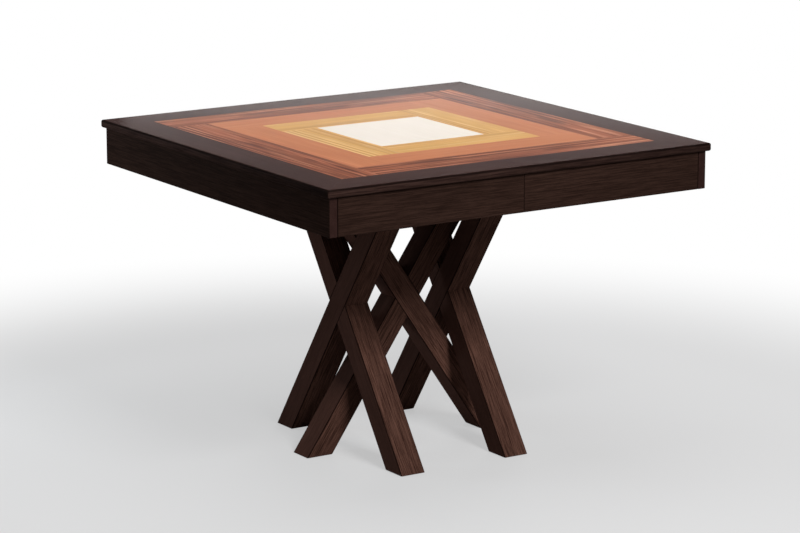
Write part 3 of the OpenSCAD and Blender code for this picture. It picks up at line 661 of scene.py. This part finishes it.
# apron
apron = {"outer": 518, "thick": 20, "low": 653, "high": top["under"], "round": 1.5, "roundSteps": 3,
         "endEase": 0.4, "endReveal": 2.0, "middleReveal": 1.4,
         "seeds": {"side": 11, "front": 12, "rear": 13}, "rightSeed": 6}
for half, turn, body in halves:
    for place, side in (("side", 0), ("front", -1), ("rear", 1)):
        outer, inner = apron["outer"], apron["outer"] - apron["thick"]
        if place == "side":
            low, high = (-outer, -outer), (-inner, outer)
            along, axis = (0, 1, 0), 1
        else:
            low = (-inner + apron["endReveal"], min(side * outer, side * inner))
            high = (-apron["middleReveal"] / 2, max(side * outer, side * inner))
            along, axis = (1, 0, 0), 0
        board = addBlock(f"{half}_{place}_board", (*low, apron["low"]), (*high, apron["high"]))
        roundEdges(board, apron["round"], apron["roundSteps"],  # the lower long edges
                   lambda a, b: abs(a[axis] - b[axis]) > longEdge and a.z < apron["low"] + hair)
        easeEdges(board, apron["endEase"])
        centreOf = ((low[0] + high[0]) / 2, (low[1] + high[1]) / 2, (apron["low"] + apron["high"]) / 2)
        layGrain(board, centreOf, along, (0, 0, 1))
        turnPiece(board, turn)
        markBoard(board, apron["seeds"][place] + (apron["rightSeed"] if half == "right" else 0))
        finishPiece(board, body, f"{half}_{edgeOf(half, place)}_apron", "apron_wood", apronWood, endWood)
        useSecond(board, lambda normal: abs(normal[axis]) > facing)
print("apron: 6 boards")


# crossed base; arris is the share of the rounding that arrisTone darkens, the upper value paints shade on the
# wood above upper, under the table top, and faces that look along X by more than faceShare get the second
# finish
beam = {"wide": 58, "thick": 66, "lean": 34.6, "cross": 363, "long": 640, "foot": 1.5, "top": 664,
        "round": 2.5, "roundSteps": 3, "footEase": 0.8, "footSteps": 2, "lap": 0.1, "lapReach": 200,
        "lapEase": 0.3, "weave": 10.5, "glide": 34.2, "glideSteps": 48, "glideSeat": 4.5,
        "arris": 0.9, "arrisTone": 0.1, "upper": 250, "paintedUpperShade": 0.7, "faceShare": 0.7, "seed": 30}
leanTurn = math.radians(beam["lean"])
frameX = beam["thick"] + beam["wide"] / math.cos(leanTurn) + beam["weave"]


def leanBlock(piece, way):  # leans an upright block about the crossing point
    piece.rotation_euler = (0, way * leanTurn, 0)
    piece.location = (0, 0, beam["cross"] * mm)
    return settle(piece)


def makeBeam(name, keep):  # keep is the side of the crossing, along Y, where its wood runs through
    halfWide, halfThick, reach = beam["wide"] / 2, beam["thick"] / 2, beam["long"]
    bar = addBlock(name, (-halfWide, -halfThick, -reach), (halfWide, halfThick, reach))
    roundEdges(bar, beam["round"], beam["roundSteps"], lambda a, b: abs(a.z - b.z) > longEdge)
    leanBlock(bar, -1)
    cutAway(bar, (0, 0, beam["foot"]), (0, 0, -1))
    cutAway(bar, (0, 0, beam["top"]), (0, 0, 1))
    easeEdges(bar, beam["footEase"], beam["footSteps"])
    wide, far = halfWide + beam["lap"], beam["lapReach"]
    lap = (-far, beam["lap"] / 2) if keep > 0 else (-beam["lap"] / 2, far)
    carve(bar, leanBlock(addBlock("lap", (-wide, lap[0], -far), (wide, lap[1], far)), 1))
    footX = (beam["cross"] - beam["foot"]) * math.tan(leanTurn)
    clearSelection()
    bpy.ops.mesh.primitive_cylinder_add(vertices=beam["glideSteps"], radius=beam["glide"] / 2 * mm,
                                        depth=2 * beam["glideSeat"] * mm, location=(footX * mm, 0, 0))
    carve(bar, bpy.context.object)
    easeEdges(bar, beam["lapEase"])
    layGrain(bar, (0, 0, beam["cross"]), (-math.sin(leanTurn), 0, math.cos(leanTurn)),
             (math.cos(leanTurn), 0, math.sin(leanTurn)))
    return bar


def shadeBeam(bar):  # darker on the rounded long edges, and painted shade towards the top, under the table top
    grain, tone = bar.data.attributes["grainPoint"], bar.data.attributes["boardToneAndPaintedLight"]
    rounded = beam["round"] * beam["arris"]
    wide, thick = beam["wide"] / 2 - rounded, beam["thick"] / 2 - rounded
    for vertex in bar.data.vertices:
        along, across, through = grain.data[vertex.index].vector / mm
        if abs(across) > wide and abs(through) > thick:
            tone.data[vertex.index].value *= beam["arrisTone"]
        if along > beam["upper"]:
            tone.data[vertex.index].value *= beam["paintedUpperShade"]


beamMiddle = makeBeam("middle_pattern", -1)
beamSide = makeBeam("side_pattern", 1)
# model, name, degrees of turn, place along X, and tone, a painted brightness that makes up for the light each
# beam gets
crossed = [(beamMiddle, "middle_beam_a", 0, 0, 1.58), (beamMiddle, "middle_beam_b", 180, 0, 1.02),
           (beamSide, "left_beam_a", 90, -frameX, 1.1), (beamSide, "left_beam_b", 270, -frameX, 1.08),
           (beamSide, "right_beam_a", 90, frameX, 1.15), (beamSide, "right_beam_b", 270, frameX, 1.15)]
for number, (model, name, turn, x, tone) in enumerate(crossed):
    bar = copyPiece(model, name)
    turnPiece(bar, turn, (x, 0, 0))
    markBoard(bar, beam["seed"] + number, tone)
    shadeBeam(bar)
    finishPiece(bar, "pedestal", name.replace("_beam", "_cross_beam"), "base_wood", legWood, legFaceWood)
    useSecond(bar, lambda normal: abs(normal.x) > beam["faceShare"])
bpy.data.objects.remove(beamMiddle)
bpy.data.objects.remove(beamSide)
print("base:", len(crossed), "beams")


# finishes of the nodes kept as they are
kept = {
    beech: ["front_fixed_rail", "rear_fixed_rail", "left_front_rail", "left_rear_rail", "right_front_rail",
            "right_rear_rail", "leaf_rests", "left_corner_blocks", "right_corner_blocks", "alignment_pins"],
    plateBoard: ["mounting_plate"],
    coreBoard: ["left_top_core", "right_top_core"],
    leafWood: ["leaf_lower_half", "leaf_upper_half"],
    gearBrass: ["front_pinion", "rear_pinion", "leaf_hinges"],
    brightSteel: ["pinion_axles", "left_racks", "right_racks", "latch_pivots", "latch_pegs", "front_latch",
                  "rear_latch"],
    screwZinc: ["plate_screws", "fixed_rail_screws", "left_screws", "right_screws"],
    glideNylon: ["foot_glides"]}
for material, names in kept.items():
    for name in names:
        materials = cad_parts[name].data.materials
        materials.clear()
        materials.append(material)
print("finishes on", sum(len(names) for names in kept.values()), "kept nodes")


# floor, in metres: it shows its shadows as far as full and is plain white from gone on
# even is the share of its own light, and bounce the grey that it throws back on the table
floor = {"radius": 9.0, "steps": 96, "rough": 0.8, "shine": 0.1, "colour": (0.72, 0.72, 0.725),
         "lit": (0.74, 0.74, 0.742), "even": 0.66, "bounce": 0.32, "full": 1.1, "gone": 2.2,
         "glossFull": 2.6, "glossGone": 4.6}
white = (1, 1, 1, 1)


def mixShader(tree, factor, a, b):
    return addNode(tree, "MixShader", None, {0: factor, 1: a, 2: b}).outputs[0]


def fadeOut(tree, reach, full, gone):
    return addNode(tree, "MapRange", {"interpolation_type": "SMOOTHSTEP"},
                   {"Value": reach, "From Min": full, "From Max": gone}).outputs["Result"]


def buildFloorFinish():
    material, tree, shader = newMaterial("studioFloor", Roughness=floor["rough"],
                                         Specular_IOR_Level=floor["shine"])
    own = shader.outputs[0]
    shader.inputs["Base Color"].default_value = (*floor["colour"], 1)
    spot = addNode(tree, "TexCoord").outputs["Object"]
    reach = addNode(tree, "VectorMath", {"operation": "LENGTH"}, {0: spot}).outputs["Value"]
    path = addNode(tree, "LightPath").outputs
    even = addNode(tree, "Emission", None, {"Color": (*floor["lit"], 1), "Strength": 1.0}).outputs[0]
    bare = addNode(tree, "Emission", None, {"Color": white, "Strength": 1.0}).outputs[0]
    dull = addNode(tree, "BsdfDiffuse", None, {"Color": (floor["bounce"],) * 3 + (1,)}).outputs[0]
    shown = mixShader(tree, fadeOut(tree, reach, floor["full"], floor["gone"]),
                      mixShader(tree, floor["even"], own, even), bare)
    inGloss = maths(tree, "MULTIPLY", path["Is Glossy Ray"],
                    fadeOut(tree, reach, floor["glossFull"], floor["glossGone"]))
    bounced = mixShader(tree, inGloss, mixShader(tree, path["Is Diffuse Ray"], own, dull), bare)
    seen = mixShader(tree, path["Is Camera Ray"], bounced, shown)
    tree.links.new(seen, tree.nodes["Material Output"].inputs["Surface"])
    return material


clearSelection()
bpy.ops.mesh.primitive_circle_add(vertices=floor["steps"], radius=floor["radius"], fill_type="NGON",
                                  location=(0, 0, 0))
ground = bpy.context.object
ground.name = "studio_floor"
ground.data.materials.append(buildFloorFinish())

# world: white where it is seen, and a dim even light elsewhere
backdrop = {"ambient": 0.11, "white": 1.0}


def buildWorld():
    world = bpy.data.worlds.new("studio")
    world.use_nodes = True
    tree = world.node_tree
    tree.nodes.clear()
    path = addNode(tree, "LightPath").outputs
    mirrored = maths(tree, "MAXIMUM", path["Is Glossy Ray"], path["Is Transmission Ray"])
    seen = maths(tree, "MAXIMUM", path["Is Camera Ray"], mirrored)
    dim = addNode(tree, "Background", None, {"Color": white, "Strength": backdrop["ambient"]})
    bare = addNode(tree, "Background", None, {"Color": white, "Strength": backdrop["white"]})
    addNode(tree, "OutputWorld", None, {"Surface": mixShader(tree, seen, dim.outputs[0], bare.outputs[0])})
    return world


bpy.context.scene.world = buildWorld()

# lamps, in metres and watts; rear stays out of the gloss, and sheen shows only in it
lamps = [{"name": "overhead", "place": (0.0, 0.3, 3.7), "aim": (0, 0, 0.7), "size": (3.0, 3.0),
          "power": 55.0},
         {"name": "key", "place": (-0.3, -4.2, 3.5), "aim": (0, 0, 0.4), "size": (1.5, 1.5),
          "power": 192.0},
         {"name": "fill", "place": (-1.15, 1.1, 0.8), "aim": (-0.5, 0.45, 0.68), "size": (0.4, 0.4),
          "power": 4.0, "tint": (0.78, 0.92, 1.0)},
         {"name": "rear", "place": (2.3, 2.7, 1.3), "aim": (0, 0, 0.4), "size": (1.5, 1.5),
          "power": 34.0, "glossy": False},
         {"name": "sheen", "place": (1.32, 1.77, 1.05), "aim": (0, 0, 0.83), "size": (2.0, 0.06),
          "power": 7.6, "tint": (1.0, 0.935, 0.92), "diffuse": False}]
for lamp in lamps:
    data = bpy.data.lights.new(lamp["name"], "AREA")
    data.shape = "RECTANGLE"
    data.size, data.size_y = lamp["size"]
    data.energy = lamp["power"]
    data.color = lamp.get("tint", white[:3])
    holder = bpy.data.objects.new(lamp["name"], data)
    holder.location = lamp["place"]
    holder.rotation_euler = (Vector(lamp["aim"]) - Vector(lamp["place"])).to_track_quat("-Z", "Y").to_euler()
    holder.visible_diffuse = lamp.get("diffuse", True)
    holder.visible_glossy = lamp.get("glossy", True)
    holder.visible_camera = False
    bpy.context.scene.collection.objects.link(holder)

# camera at the photograph's angle; lens and sensor are in mm, tilt is down from level, in degrees
view = {"lens": 147.20, "sensor": 36.0, "far": 100.0, "place": (-4.17822, -6.46469, 2.15344),
        "tilt": 12.619, "turn": -32.872}
camera = bpy.data.cameras.new("photoView")
camera.lens = view["lens"]
camera.sensor_width = view["sensor"]
camera.clip_end = view["far"]
viewer = bpy.data.objects.new("photoView", camera)
viewer.location = view["place"]
viewer.rotation_euler = (math.radians(90 - view["tilt"]), 0, math.radians(view["turn"]))
bpy.context.scene.collection.objects.link(viewer)
bpy.context.scene.camera = viewer
bpy.context.scene.view_settings.view_transform = "Standard"
